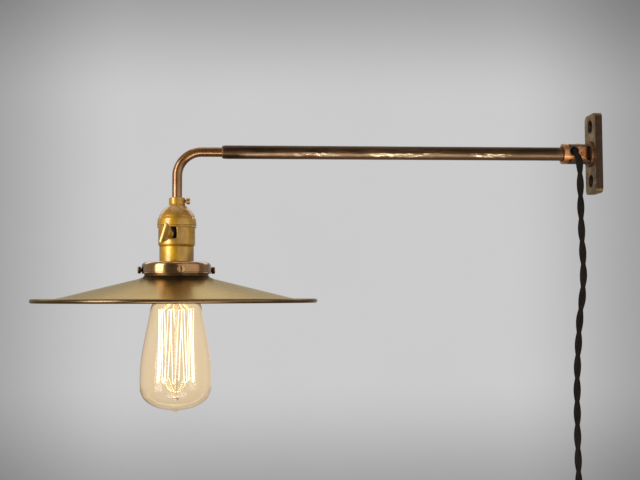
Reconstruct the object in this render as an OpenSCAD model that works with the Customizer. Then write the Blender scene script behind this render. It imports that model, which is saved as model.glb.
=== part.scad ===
// Swing arm wall sconce: wall plate with a pin swivel, straight arm, bent lamp tube,
// key socket, flat cone shade, long glass bulb and a twisted cloth cord with its plug.
// Millimetres. The origin is the centre of the wall plate's back face, which lies on the
// wall plane x = 0. The arm runs along -X, +Z is up, and -Y is the side the cord leaves.

/* [Wall plate] */
// Height of the wall plate
plate_h = 74; // [70:1:90]
// Width of the wall plate
plate_w = 29; // [26:0.5:36]
// Thickness of the wall plate
plate_t = 6.4; // [5:0.2:8]
// Corner radius of the wall plate
plate_r = 5; // [2:0.5:8]
// Distance between the two wall screw holes
wall_hole_gap = 50.8; // [46:0.2:54]
// Diameter of the wall screw holes
wall_hole_d = 5.6; // [4.5:0.1:6.5]
// Outer diameter of their countersinks
countersink_d = 12.4; // [10:0.2:13]

/* [Swivel] */
// Outside diameter of the swivel
swivel_d = 18.6; // [18:0.1:20]
// Distance from the wall to the arm side end of the swivel
swivel_end = 33.4; // [33:0.2:40]
// Diameter of the round flange on the plate
flange_d = 24; // [21:0.5:28]
// Thickness of that flange
flange_t = 2.5; // [2:0.1:3]
// Diameter of the pivot pin
pin_d = 4; // [3:0.5:5]
// Diameter of the hole where the cord comes out
cord_hole_d = 8.6; // [7.6:0.2:9]

/* [Arm and bent tube] */
// Distance from the wall to the far end of the arm tube
arm_end = 348; // [300:1:420]
// Outside diameter of the arm tube
arm_d = 12.4; // [12:0.1:12.6]
// Outside diameter of the bent tube
tube_d = 9; // [8.6:0.1:9.2]
// Bend radius of the bent tube, at its centre line
bend_r = 22; // [18:1:30]
// Distance from the wall to the lamp's upright axis
lamp_x = 388.5; // [370:0.5:460]

/* [Socket] */
// Depth of the top of the socket neck below the arm axis
neck_top = 42; // [36:0.5:46]
// Widest diameter of the socket cap
cap_d = 35.4; // [35:0.1:36]
// Outside diameter of the socket shell
shell_d = 33.2; // [33:0.1:33.4]
// Outside diameter of the lower, narrower part of the shell
shell_low_d = 31; // [30.6:0.1:31.4]
// Depth of the key shaft below the arm axis
key_z = 76.2; // [75:0.2:77]
// Turn of the key shaft from -Y towards -X, in degrees
key_azimuth = 15; // [0:1:40]
// Turn of the paddle from upright, in degrees
key_tilt = 18; // [0:1:90]
// Width of the outer edge of the paddle
paddle_w = 18.7; // [14:0.1:20]

/* [Shade] */
// Diameter of the shade
shade_d = 254; // [220:1:300]
// Diameter of the shade's neck, which fits a 2 1/4 inch holder
shade_neck_d = 57; // [56.6:0.1:57.4]
// Thickness of the shade's sheet metal
sheet_t = 0.9; // [0.7:0.1:1.2]
// Thickness of the rolled rim
rim_t = 3.7; // [3:0.1:5]
// Outside diameter of the shade holder
holder_d = 62.4; // [61:0.1:63]
// Turn of the holder's screws about the lamp axis, in degrees
holder_screw_turn = 12; // [0:1:45]

/* [Bulb] */
// Widest diameter of the glass
bulb_d = 64; // [60:0.5:64]
// Thickness of the glass
glass_t = 0.9; // [0.6:0.1:1.2]
// Number of upright filament strands
strands = 20; // [8:2:20]

/* [Cord] */
// Diameter round both twisted strands of the cord
cord_d = 6.6; // [6:0.1:6.6]

/* [Hidden] */
$fn = 72;

fit = 0.05;              // radial gap between pieces of one body, and of a running fit
clear = 0.35;            // gap between pieces of different bodies
over = 1;                // how far a cutter passes a face

swivel_r = swivel_d / 2;
flange_x = plate_t + flange_t;
pivot_x = flange_x + swivel_r + clear;
tongue_h = 12;           // height of the swivel head's tongue
washer_t = 0.4;
slot_h = tongue_h + 2 * (washer_t + 2 * fit);
pin_head_d = 5.6;
pin_head_h = 1.2;
sleeve_x = pivot_x + swivel_r + clear;
arm_root = sleeve_x + 0.8;
arm_bore = arm_d - 2;
cavity_d = 10;
cavity_end = pivot_x + pin_d / 2 + 0.8;
cord_hole_x = 24.6;
cord_hole_z = 1.65;
arm_screw_x = swivel_end - 2.4;

tube_bore = tube_d - 2;
tube_root = arm_end - 58;
nut_l = 5;
sleeve_end = arm_end - 2;
lead_d = 5;
neck_d = 14.4;
neck_h = 7;
cap_low = 69.4;
cap_screw_z = neck_top + 3;

shell_top = 62.5;
shell_step = 86.5;
shell_low = 112;
shell_wall = 0.6;
liner_wall = 0.5;
body_top = 62;
body_low = 93;
body_r = 13.6;
key_slot_w = 11;
key_slot_drop = 3.6;      // depth of the slot's floor below the key's shaft
cam_r = 4.4;
cam_pocket_r = 5.2;
shaft_d = 3.2;
paddle_in = 18.3;        // radius from the lamp axis where the key's boss starts
paddle_out = 34;
paddle_t = 2;
contact_z = 95;
screw_shell_r = 13.9;
screw_shell_wall = 0.5;

holder_top = 100.3;
holder_low = 110.9;
holder_wall = 0.8;
holder_screw_z = 107.7;
holder_screw_shank_d = 3.4;
holder_screw_head_d = 6.4;
holder_screw_head_l = 2.7;
shade_neck_top = 103;
shade_neck_low = 112.4;
rim_z = 135.3;

base_r = 13.05;
base_top = 98.6;
base_low = 122.5;
stem_low = 225;
cage_top = 140;          // depth of the filament's upper hooks
cage_low = 207;          // depth of its lower hooks
cage_top_r = 16.2;
cage_low_r = 15.8;
spider_low = 217;
spider_top = 134;
wire_d = 0.7;
filament_d = 0.5;
bead_r = 0.75;           // radius of the filament's bead at each hook

// The cord from the hole in the swivel to the hank, point by point
drop_route = [[-24.6, -6.2, 2.0], [-24.5, -9.0, 1.2], [-23.7, -11.8, -1.2], [-22.7, -13.8, -4.8],
    [-22.1, -14.9, -9.6], [-21.8, -15.2, -16], [-21.7, -15.1, -26], [-21.6, -15.0, -40],
    [-21.5, -15.0, -56], [-21.3, -15.0, -72], [-20.6, -15.0, -92], [-20.3, -15.0, -112],
    [-21.6, -15.0, -131], [-24.2, -15.0, -150], [-26.0, -15.0, -172], [-27.4, -15.0, -194],
    [-28.1, -15.0, -215], [-28.4, -15.0, -236], [-28.5, -15.0, -257], [-28.4, -15.0, -278],
    [-28.2, -15.0, -296], [-28.0, -15.0, -309]];
// The cord from the hank's last run to the plug
tail_route = [[-21.4, -8.2, -439], [-21.6, -8.1, -451], [-23.4, -7.1, -461],
    [-26.2, -5.4, -470], [-27.7, -4.3, -478], [-28.0, -4.0, -485]];
cord_sides = 8;
hank_x = 38;
hank_top = 303;
hank_run = 118;          // length of the straight runs
hank_turns = 4;          // turns in the inner layer, side by side
hank_in_r = 10;          // radius of the inner layer's folds, at the cord's centre
hank_out_r = 16.6;
turn_gap = 6.8;
hank_first_y = -15;
hank_y = hank_first_y + turn_gap * (hank_turns - 1) / 2;
hank_w = 2 * hank_out_r + cord_d;
hank_t = turn_gap * (hank_turns - 1) + cord_d;
hank_z = hank_top + hank_w / 2 + hank_run / 2;
tie_h = 11;
tie_t = 1.2;
plug_x = 28;
plug_y = -4;
plug_top = 483;
plug_h = 27;
plug_r = 14.5;
blade_gap = 12.7;
blade_w = 6.35;
blade_t = 1.5;
blade_l = 17;

// ---------- helpers ----------

// Children built along +Z are laid along -X, starting at a distance from the wall
module toward_lamp(start) translate([-start, 0, 0]) rotate([0, -90, 0]) children();

// Children are moved to the lamp's upright axis, at a depth below the arm axis
module at_lamp(depth = 0) translate([-lamp_x, 0, -depth]) children();

// Children built along +Z point outwards along the key shaft, from the lamp axis
module along_key() at_lamp(key_z) rotate([0, 0, -key_azimuth]) rotate([90, 0, 0]) children();

// A pipe along +Z
module pipe(outer, inner, length) difference() {
    cylinder(d = outer, h = length);
    translate([0, 0, -over]) cylinder(d = inner, h = length + 2 * over);
}

// A ring turned about the lamp axis from [radius, depth] points
module turned(points) at_lamp() rotate_extrude() polygon([for (p = points) [p[0], -p[1]]]);

// A rectangle with round corners, made of plain squares and circles
module round_rect(size, r) {
    square([size[0] - 2 * r, size[1]], center = true);
    square([size[0], size[1] - 2 * r], center = true);
    for (i = [-1, 1], j = [-1, 1])
        translate([i * (size[0] / 2 - r), j * (size[1] / 2 - r)]) circle(r);
}

// A long outline with round ends, upright in the X-Z plane and centred on Y
module upright_oval(w, run, t) rotate([90, 0, 0]) linear_extrude(t, center = true) {
    square([w, run], center = true);
    for (s = [-1, 1]) translate([0, s * run / 2]) circle(w / 2);
}

// A round bar from one point towards another, which it stops short of by a gap
module bar(a, b, d, gap = 0) {
    v = b - a;
    translate(a) rotate([0, acos(v[2] / norm(v)), atan2(v[1], v[0])])
        cylinder(d = d, h = norm(v) - gap, $fn = 16);
}

// A slotted round screw head along +Z, with its slot across the top
module slotted_head(d, h, slot_w, slot_h) difference() {
    cylinder(d = d, h = h);
    translate([-d, -slot_w / 2, h - slot_h]) cube([2 * d, slot_w, slot_h + over]);
}

// Swept tube along a route: rings of points square to the way the route runs
function way(route, i) =
    let (v = route[min(len(route) - 1, i + 1)] - route[max(0, i - 1)]) v / norm(v);
function side(v) = let (s = cross(v, [1, 0, 0])) s / norm(s);
function ring(route, i, r) =
    let (v = way(route, i), s = side(v), u = cross(s, v))
    [for (k = [0:cord_sides - 1]) route[i] + r * (cos(k * 360 / cord_sides) * s
        + sin(k * 360 / cord_sides) * u)];
module swept(route, r) {
    n = cord_sides;
    last = (len(route) - 1) * n;
    polyhedron(
        points = [for (i = [0:len(route) - 1]) each ring(route, i, r)],
        faces = concat(
            [[for (k = [0:n - 1]) k]],
            [for (i = [0:len(route) - 2], k = [0:n - 1])
                [i * n + k, (i + 1) * n + k, (i + 1) * n + (k + 1) % n, i * n + (k + 1) % n]],
            [[for (k = [n - 1:-1:0]) last + k]]),
        convexity = 6);
}

// ---------- wall bracket ----------

// Flat bar with two countersunk screw holes and a blind seat for the swivel's spigot
module wall_plate() color([0.40, 0.31, 0.21]) difference() {
    toward_lamp(0) linear_extrude(plate_t) round_rect([plate_h, plate_w], plate_r);
    for (s = [-1, 1]) translate([0, 0, s * wall_hole_gap / 2]) {
        toward_lamp(-over) cylinder(d = wall_hole_d, h = plate_t + 2 * over);
        toward_lamp(plate_t - (countersink_d - wall_hole_d) / 2)
            cylinder(d1 = wall_hole_d, d2 = countersink_d, h = (countersink_d - wall_hole_d) / 2);
        toward_lamp(plate_t - fit) cylinder(d = countersink_d, h = over);
    }
    toward_lamp(plate_t - 3) cylinder(d = 8, h = 3 + over);
}

// Outline of the swivel seen from above: straight sides and a round end about the pin
module swivel_plan(from, to) {
    translate([-pivot_x, 0]) circle(swivel_r);
    translate([-max(from, to), -swivel_r]) square([abs(to - from), swivel_d]);
}

// Fixed half of the swivel: flange, spigot and the two cheeks that hold the pin
module swivel_base() color([0.56, 0.33, 0.20]) difference() {
    union() {
        toward_lamp(plate_t - 2.9) cylinder(d = 8 - 2 * fit, h = 3);
        toward_lamp(plate_t) cylinder(d = flange_d, h = flange_t);
        intersection() {
            toward_lamp(plate_t) cylinder(d = swivel_d, h = swivel_end);
            translate([0, 0, -swivel_d]) linear_extrude(2 * swivel_d) swivel_plan(plate_t + fit, pivot_x);
        }
    }
    translate([-flange_x - 4 * swivel_d, -swivel_d, -slot_h / 2])
        cube([4 * swivel_d, 2 * swivel_d, slot_h]);
    translate([-pivot_x, 0, -swivel_d]) cylinder(d = pin_d + 2 * fit, h = 2 * swivel_d);
    translate([-pivot_x, 0, swivel_r - pin_head_h]) cylinder(d = pin_head_d + 2 * fit, h = swivel_d);
}

// Upright pin with a slotted head in the upper cheek
module pivot_pin() color([0.75, 0.66, 0.52]) translate([-pivot_x, 0, 0]) {
    translate([0, 0, 0.2 - swivel_r]) cylinder(d = pin_d, h = swivel_d - pin_head_h);
    translate([0, 0, swivel_r - pin_head_h + 0.05]) slotted_head(pin_head_d, pin_head_h + 0.1, 0.9, 0.6);
}

// Two friction washers between the cheeks and the tongue
module swivel_washers() color([0.62, 0.50, 0.28])
    for (s = [-1, 1]) translate([-pivot_x, 0, s * (tongue_h / 2 + fit + washer_t / 2) - washer_t / 2])
        pipe(12, pin_d + 2 * fit, washer_t);

// ---------- swinging arm ----------

// Moving half of the swivel: tongue on the pin, sleeve on the arm, hole for the cord
module swivel_head() color([0.72, 0.42, 0.24]) difference() {
    union() {
        intersection() {
            toward_lamp(plate_t) cylinder(d = swivel_d, h = swivel_end);
            translate([0, 0, -tongue_h / 2]) linear_extrude(tongue_h)
                swivel_plan(pivot_x, sleeve_x + fit);
        }
        toward_lamp(sleeve_x) cylinder(d = swivel_d, h = swivel_end - sleeve_x);
    }
    translate([-pivot_x, 0, -swivel_d]) cylinder(d = pin_d + 4 * fit, h = 2 * swivel_d);
    toward_lamp(cavity_end) cylinder(d = cavity_d, h = swivel_end);
    toward_lamp(arm_root) cylinder(d = arm_d + 2 * fit, h = swivel_end);
    toward_lamp(swivel_end - 1.2) cylinder(d = arm_d + 1.6, h = 1.2 + over);
    translate([-cord_hole_x, 0, cord_hole_z]) rotate([90, 0, 0]) cylinder(d = cord_hole_d, h = swivel_d);
    translate([-arm_screw_x, 0, 0]) rotate([-90, 0, 0]) cylinder(d = 3 + 2 * fit, h = swivel_d, $fn = 32);
}

// Black fibre bushing in the cord hole
module cord_bushing() color([0.06, 0.05, 0.05])
    translate([-cord_hole_x, 5.8 - swivel_r - 0.4, cord_hole_z]) rotate([90, 0, 0]) translate([0, 0, 2])
        pipe(cord_hole_d - 2 * fit, cord_hole_d - 1.6, 3.8);

// Straight tube, with its far end drawn in a little
module arm_tube() color([0.27, 0.18, 0.13]) difference() {
    union() {
        toward_lamp(arm_root + fit) cylinder(d = arm_d, h = arm_end - 3 - arm_root - fit);
        toward_lamp(arm_end - 3) cylinder(d1 = arm_d, d2 = arm_d - 1, h = 3);
    }
    toward_lamp(0) cylinder(d = arm_bore, h = arm_end + over);
}

// Grub screw that locks the arm in the swivel's sleeve
module arm_set_screw() color([0.35, 0.30, 0.26])
    translate([-arm_screw_x, 0, 0]) rotate([-90, 0, 0]) translate([0, 0, arm_d / 2 + 0.02])
        difference() {
            cylinder(d = 3, h = 2.6, $fn = 32);
            translate([-3, -0.3, 2]) cube([6, 0.6, 2]);
        }

// Bearing sleeve in the arm's far end, in which the bent tube turns
sleeve_start = tube_root + nut_l + 1;
module arm_end_sleeve() color([0.60, 0.48, 0.27])
    toward_lamp(sleeve_start) pipe(arm_bore - 2 * fit, tube_d + 2 * fit, sleeve_end - sleeve_start);

// ---------- lamp head ----------

// Nut on the hidden end of the bent tube, behind the sleeve
module tube_retaining_nut() color([0.60, 0.48, 0.27])
    toward_lamp(tube_root) pipe(arm_bore - 2 * clear, tube_d + 2 * fit, nut_l);

// Tube that turns down from the arm to the socket
module bent_pipe(outer) {
    toward_lamp(tube_root) cylinder(d = outer, h = lamp_x - bend_r - tube_root);
    translate([bend_r - lamp_x, 0, -bend_r]) rotate([90, 0, 0])
        rotate([0, 0, 90]) rotate_extrude(angle = 90) translate([bend_r, 0]) circle(d = outer);
    at_lamp(neck_top + 12) cylinder(d = outer, h = neck_top + 12 - bend_r);
}
module bent_tube() color([0.66, 0.45, 0.29]) difference() {
    bent_pipe(tube_d);
    bent_pipe(tube_bore);
    toward_lamp(tube_root - over) cylinder(d = tube_bore, h = 2 * over);
    at_lamp(neck_top + 12 + over) cylinder(d = tube_bore, h = 2 * over);
}

// Lead inside the arm and the bent tube, from the swivel to the socket
module inner_lead() color([0.10, 0.09, 0.08]) {
    toward_lamp(arm_root + 2) cylinder(d = lead_d, h = lamp_x - bend_r - arm_root - 2);
    translate([bend_r - lamp_x, 0, -bend_r]) rotate([90, 0, 0])
        rotate([0, 0, 90]) rotate_extrude(angle = 90) translate([bend_r, 0]) circle(d = lead_d);
    at_lamp(body_top - 1) cylinder(d = lead_d, h = body_top - 1 - bend_r);
}

// Domed brass cap of the socket, with its neck on the tube
cap_outline = [[tube_d / 2 + fit, neck_top], [neck_d / 2, neck_top], [neck_d / 2, neck_top + neck_h],
    [8.3, 49.7], [10.3, 51.4], [13, 54], [14.8, 56.8], [16.2, 59.6], [17.1, 62.2],
    [cap_d / 2, 64.8], [cap_d / 2, cap_low - 2.4], [cap_d / 2 - 0.45, cap_low - 1.6],
    [cap_d / 2 - 0.3, cap_low], [shell_d / 2 + fit, cap_low], [shell_d / 2 + fit, 62.4],
    [15, 59.8], [13.8, 57.2], [12.2, 54.6], [9.6, 52.2], [7.6, 51], [tube_d / 2 + fit, 50]];
module socket_cap() color([0.76, 0.60, 0.24]) difference() {
    turned(cap_outline);
    at_lamp(cap_screw_z) rotate([0, 90, 0]) cylinder(d = 3 + 2 * fit, h = neck_d, $fn = 32);
}

// Slotted screw that locks the cap's neck on the tube
module cap_set_screw() color([0.70, 0.56, 0.28]) at_lamp(cap_screw_z) rotate([0, 90, 0]) {
    translate([0, 0, tube_d / 2 + 0.05]) cylinder(d = 3, h = 4.1, $fn = 32);
    translate([0, 0, tube_d / 2 + 4.1]) slotted_head(6, 3, 0.9, 1.2);
}

// Cutter for the key's square ended slot, from the shell's top edge down
module key_slot(w) along_key() translate([-w / 2, -key_slot_drop, body_r - 1])
    cube([w, key_slot_drop + key_z - shell_top + over, 6]);

// Brass shell of the socket
shell_outline = [[shell_d / 2, shell_top], [shell_d / 2, shell_step - 1.2],
    [shell_low_d / 2 + 0.2, shell_step], [shell_low_d / 2, shell_step + 1], [shell_low_d / 2, shell_low],
    [shell_low_d / 2 - shell_wall, shell_low], [shell_low_d / 2 - shell_wall, shell_step + 0.6],
    [shell_d / 2 - shell_wall, shell_step - 1.6], [shell_d / 2 - shell_wall, shell_top]];
module socket_shell() color([0.76, 0.60, 0.24]) difference() {
    turned(shell_outline);
    key_slot(key_slot_w);
}

// Insulating paper liner inside the shell
liner_r = shell_d / 2 - shell_wall - fit;
liner_low_r = shell_low_d / 2 - shell_wall - fit;
liner_outline = [[liner_r, shell_top + 0.5], [liner_r, shell_step - 2.2], [liner_low_r, shell_step + 0.4],
    [liner_low_r, shell_low - 2], [liner_low_r - liner_wall, shell_low - 2],
    [liner_low_r - liner_wall, shell_step], [liner_r - liner_wall, shell_step - 2.6],
    [liner_r - liner_wall, shell_top + 0.5]];
module shell_liner() color([0.55, 0.44, 0.30]) difference() {
    turned(liner_outline);
    key_slot(key_slot_w - 1);
}

// Moulded insulating block that holds the switch and the contacts
module socket_body() color([0.16, 0.12, 0.10]) difference() {
    at_lamp(body_low) cylinder(r = body_r, h = body_low - body_top);
    along_key() translate([0, 0, 1]) cylinder(r = cam_pocket_r, h = 9.2);
    along_key() cylinder(d = shaft_d + 4 * fit, h = 2 * body_r);
    along_key() translate([0, 0, body_r - 1.6]) cylinder(d = key_slot_w - 2, h = 4);
    for (s = [-1, 1]) along_terminals(s) translate([0, 0, 7]) cylinder(d = 3 + 2 * fit, h = 10, $fn = 32);
}

// Children point outwards at the two terminals, square to the key
module along_terminals(s) at_lamp(68) rotate([0, 0, s * 90 - key_azimuth]) rotate([90, 0, 0]) children();

// Two binding screws for the wires
module terminal_screws() color([0.74, 0.62, 0.34]) for (s = [-1, 1]) along_terminals(s) {
    translate([0, 0, 8]) cylinder(d = 3, h = 6, $fn = 32);
    translate([0, 0, body_r + 0.1]) slotted_head(5.6, 1.3, 0.8, 0.6);
}

// Threaded shell that takes the bulb
module screw_shell() color([0.74, 0.58, 0.30]) at_lamp(shell_low + 3)
    pipe(2 * screw_shell_r, 2 * (screw_shell_r - screw_shell_wall), shell_low + 3 - body_low - fit);

// Contact leaf that meets the tip of the bulb
module centre_contact() color([0.76, 0.62, 0.34]) {
    at_lamp(contact_z) cylinder(d = 8, h = 0.6);
    at_lamp(contact_z - 0.6) cylinder(d = 3, h = contact_z - 0.6 - body_low - fit, $fn = 32);
}

// ---------- switch key ----------

// Square switch cam on the shaft's inner end
module switch_cam() color([0.20, 0.18, 0.16]) along_key() translate([0, 0, 2]) difference() {
    intersection() {
        cylinder(r = cam_r, h = 7);
        rotate([0, 0, -key_tilt]) translate([-3.6, -3.6, 0]) cube([7.2, 7.2, 7]);
    }
    translate([0, 0, 1]) cylinder(d = shaft_d + 2 * fit, h = 7);
}

// Shaft of the switch
module switch_shaft() color([0.70, 0.55, 0.26])
    along_key() translate([0, 0, 3.1]) cylinder(d = shaft_d, h = paddle_in + 2.4 - 3.1);

// Flared paddle on a round boss; [radius from the lamp axis, half width] points
paddle_half = [[paddle_in + 1, 4.2], [paddle_in + 1.8, 5.6], [paddle_in + 5, 6.4], [paddle_in + 9, 7.3],
    [paddle_in + 12.6, 8.6], [paddle_out - 1.4, paddle_w / 2], [paddle_out - 0.5, paddle_w / 2 - 0.4],
    [paddle_out, paddle_w / 2 - 1.6]];
module paddle_key() color([0.76, 0.60, 0.24]) along_key() rotate([0, 0, -key_tilt]) difference() {
    union() {
        translate([0, 0, paddle_in]) cylinder(d = 8, h = 3.4);
        rotate([0, 90, 0]) linear_extrude(paddle_t, center = true) polygon(concat(
            [for (p = paddle_half) [-p[0], p[1]]],
            [for (i = [len(paddle_half) - 1:-1:0]) [-paddle_half[i][0], -paddle_half[i][1]]]));
    }
    translate([0, 0, paddle_in - over]) cylinder(d = shaft_d + 2 * fit, h = 2.5 + over);
}

// ---------- shade ----------

// Cup on the socket that holds the shade's neck
holder_r = holder_d / 2;
holder_outline = [[shell_low_d / 2 + fit, holder_top], [holder_r - 3.4, holder_top],
    [holder_r - 1.7, holder_top + 0.45], [holder_r - 0.5, holder_top + 1.6], [holder_r, holder_top + 3.2],
    [holder_r, holder_low], [holder_r - holder_wall, holder_low],
    [holder_r - holder_wall, holder_top + 3.4], [holder_r - 1.3, holder_top + 2],
    [holder_r - 3.4, holder_top + holder_wall], [shell_low_d / 2 + fit, holder_top + holder_wall]];
module shade_holder() color([0.62, 0.46, 0.30]) difference() {
    turned(holder_outline);
    for (k = [0:3]) along_holder_screw(k) cylinder(d = holder_screw_shank_d + 2 * fit, h = 40, $fn = 32);
}

// Ring on the socket's lower end that clamps the holder
module holder_ring() color([0.62, 0.46, 0.30])
    at_lamp(holder_top + holder_wall + fit + 3) pipe(39, shell_low_d + 2 * fit, 3);

// Children point outwards at one of the four holder screws
module along_holder_screw(k) at_lamp(holder_screw_z)
    rotate([0, 0, holder_screw_turn + 90 * k]) rotate([90, 0, 0]) children();

// Four slotted screws that grip the shade's neck
module holder_screws() color([0.50, 0.38, 0.26]) for (k = [0:3]) along_holder_screw(k) {
    translate([0, 0, shade_neck_d / 2 + fit])
        cylinder(d = holder_screw_shank_d, h = holder_r + 1.2 - shade_neck_d / 2, $fn = 32);
    translate([0, 0, holder_r + 0.7]) rotate([0, 0, 90])
        slotted_head(holder_screw_head_d, holder_screw_head_l, 1.1, 1.2);
}

// Neck of the shade: a lip at its top, a straight wall and a curved shoulder
neck_outline = [[shade_neck_d / 2 + 1.1, shade_neck_top], [shade_neck_d / 2 + 0.9, shade_neck_top + 0.8],
    [shade_neck_d / 2, shade_neck_top + 1.4], [shade_neck_d / 2, shade_neck_low - 0.6],
    [29.2, shade_neck_low + 0.8], [30.8, 114.5], [33.6, 115.6],
    [33.2, 115.6 + sheet_t], [30.2, 114.5 + sheet_t], [shade_neck_d / 2 - sheet_t + 0.4, shade_neck_low + 1],
    [shade_neck_d / 2 - sheet_t, shade_neck_low - 0.6], [shade_neck_d / 2 - sheet_t, shade_neck_top]];
module shade_neck() color([0.36, 0.31, 0.20]) turned(neck_outline);

// Spun shade: flat cone that starts at the neck's shoulder, with a rolled rim
shade_outline = [[33.65, 115.62], [106, 133.45], [112, 134.7], [118, 135.5],
    [shade_d / 2 - rim_t / 2, 135.9], [shade_d / 2 - rim_t / 2, 135.9 + sheet_t], [118, 135.5 + sheet_t],
    [112, 134.7 + sheet_t], [106, 133.45 + sheet_t], [33.25, 115.62 + sheet_t]];
module shade() color([0.52, 0.47, 0.30]) {
    turned(shade_outline);
    at_lamp(rim_z) rotate_extrude() translate([shade_d / 2 - rim_t / 2, 0]) circle(d = rim_t, $fn = 32);
}

// ---------- bulb ----------

// Screw base of the bulb
module bulb_base() color([0.75, 0.66, 0.45]) difference() {
    at_lamp(base_low) cylinder(r = base_r, h = base_low - base_top);
    at_lamp(base_low + over) cylinder(r = base_r - 0.5, h = base_low + over - base_top - 0.6);
    at_lamp(base_top + over) cylinder(r = 8, h = 3);
}

// Black glass insulator at the top of the base
module base_insulator() color([0.05, 0.05, 0.06]) {
    at_lamp(base_top + 0.6) cylinder(r = 8 - fit, h = 0.6);
    at_lamp(base_top) cylinder(r1 = 9.5, r2 = 5.4, h = 1.8);
}

// Tip contact of the base
module base_contact() color([0.70, 0.68, 0.64]) at_lamp(base_top - 1.8) cylinder(d1 = 9, d2 = 7, h = 1.3);

// Glass envelope: outer [radius, depth] points from the base to the sealing tip
glass_outline = [[base_r - 0.6, base_top + 3], [base_r - 0.6, 122.7], [13.2, 124.6], [15.2, 128],
    [18.4, 132.6], [21.3, 136.8], [23.1, 141], [24.2, 149], [26, 158.4], [27.9, 168], [29.7, 177.6],
    [31.1, 187], [31.8, 196], [bulb_d / 2, 204], [bulb_d / 2, 211], [31.5, 216], [29.5, 220.8], [25.6, 225.2],
    [18.6, 229.5], [10, 231.9], [3.4, 232.9], [1.9, 234], [1, 235.2], [0.01, 235.5]];
module bulb_glass() color([0.90, 0.72, 0.42, 0.4]) turned(concat(glass_outline,
    [[0.01, 232.2], [9.8, 231], [18.1, 228.6], [24.9, 224.5], [28.6, 220.4],
     [30.6, 215.7], [bulb_d / 2 - glass_t, 211], [bulb_d / 2 - glass_t, 204], [30.9, 196], [30.2, 187.1],
     [28.8, 177.8], [27, 168.2], [25.1, 158.6], [23.3, 149.1], [22.2, 141.3], [20.5, 137.3], [17.7, 133.2],
     [14.4, 128.5], [12.2, 124.9], [base_r - 1.5, 121.8], [base_r - 1.5, base_top + 3]]));

// Glass stem with its flare, long rod and end button
module bulb_stem() color([0.85, 0.85, 0.82, 0.5]) turned([[0.01, 117], [10.6, 117], [10.6, 118], [4.6, 122],
    [4.2, 130], [2.2, 134], [1.7, 138], [1.7, stem_low - 4], [2.9, stem_low - 2.6],
    [2.9, stem_low - 1], [0.01, stem_low]]);

// Points of the upper and lower hooks; the strands go down and up between them
function hook(k) = let (up = k % 2 == 0, a = 360 * k / strands)
    [(up ? cage_top_r : cage_low_r) * cos(a), (up ? cage_top_r : cage_low_r) * sin(a),
        up ? -cage_top : -cage_low];

// Sideways step along the cage, which keeps the two strands of a hook apart
function aside(k, s) = let (a = 360 * k / strands) s * (filament_d / 2 + 0.07) * [-sin(a), cos(a), 0];

// Support wires from the stem's surface to the hooks
module filament_supports() color([0.45, 0.43, 0.40]) at_lamp() for (k = [0:strands - 1]) {
    a = 360 * k / strands;
    r = k % 2 == 0 ? 2.4 : 2;
    root = [r * cos(a), r * sin(a), k % 2 == 0 ? -spider_top : -spider_low];
    bar(root, hook(k), wire_d, bead_r + fit);
}

// Filament, strung down and up between the beads that hang on the hooks
module filament() color([1, 0.75, 0.35]) at_lamp() {
    for (k = [0:strands - 2]) bar(hook(k) + aside(k, 1), hook(k + 1) + aside(k + 1, -1), filament_d);
    for (k = [0:strands - 1]) translate(hook(k)) rotate([0, 0, 360 * k / strands]) sphere(bead_r, $fn = 24);
}

// ---------- cord and plug ----------

// Hanging stretch of the cord
module cord_drop() color([0.08, 0.07, 0.06]) swept(drop_route, cord_d / 2);

// Cord folded into a long hank, as the outer shape of all its turns
module cord_hank() color([0.08, 0.07, 0.06])
    translate([-hank_x, hank_y, -hank_z]) upright_oval(hank_w, hank_run, hank_t);

// Strap round the middle of the hank
module cord_tie() color([0.18, 0.14, 0.10]) translate([-hank_x, hank_y, -hank_z - tie_h / 2])
    linear_extrude(tie_h) difference() {
        round_rect([hank_w + 2 * fit + 2 * tie_t, hank_t + 2 * fit + 2 * tie_t], 2);
        square([hank_w + 2 * fit, hank_t + 2 * fit], center = true);
    }

// Free end of the cord, from the hank to the plug
module cord_tail() color([0.08, 0.07, 0.06]) swept(tail_route, cord_d / 2);

// Round moulded plug body
plug_outline = [[cord_d / 2 + 0.6, 0], [6.5, 0.6], [8.2, 4], [11, 9], [13.6, 13], [plug_r, 17],
    [plug_r, plug_h - 1], [plug_r - 1, plug_h], [0, plug_h], [0, 6], [cord_d / 2 + 0.6, 6]];
module plug_body() color([0.10, 0.06, 0.04]) translate([-plug_x, plug_y, -plug_top]) difference() {
    rotate_extrude() polygon([for (p = plug_outline) [p[0], -p[1]]]);
    for (s = [-1, 1]) translate([s * blade_gap / 2 - blade_t / 2, -blade_w / 2, -plug_h - over])
        cube([blade_t, blade_w, 9 + over]);
}

// Bushing where the cord enters the plug
module plug_collar() color([0.20, 0.15, 0.12])
    translate([-plug_x, plug_y, -plug_top - 5]) pipe(cord_d + 1.1, cord_d - 0.2, 6.4);

// Two flat blades
module plug_blades() color([0.76, 0.62, 0.34])
    for (s = [-1, 1]) translate([s * blade_gap / 2 - plug_x, plug_y, -plug_top - plug_h - blade_l])
        difference() {
            translate([fit - blade_t / 2, fit - blade_w / 2, 0])
                cube([blade_t - 2 * fit, blade_w - 2 * fit, blade_l + 8.5]);
            translate([-blade_t, 0, 4.5]) rotate([0, 90, 0]) cylinder(d = 3.2, h = 2 * blade_t, $fn = 32);
        }

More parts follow.
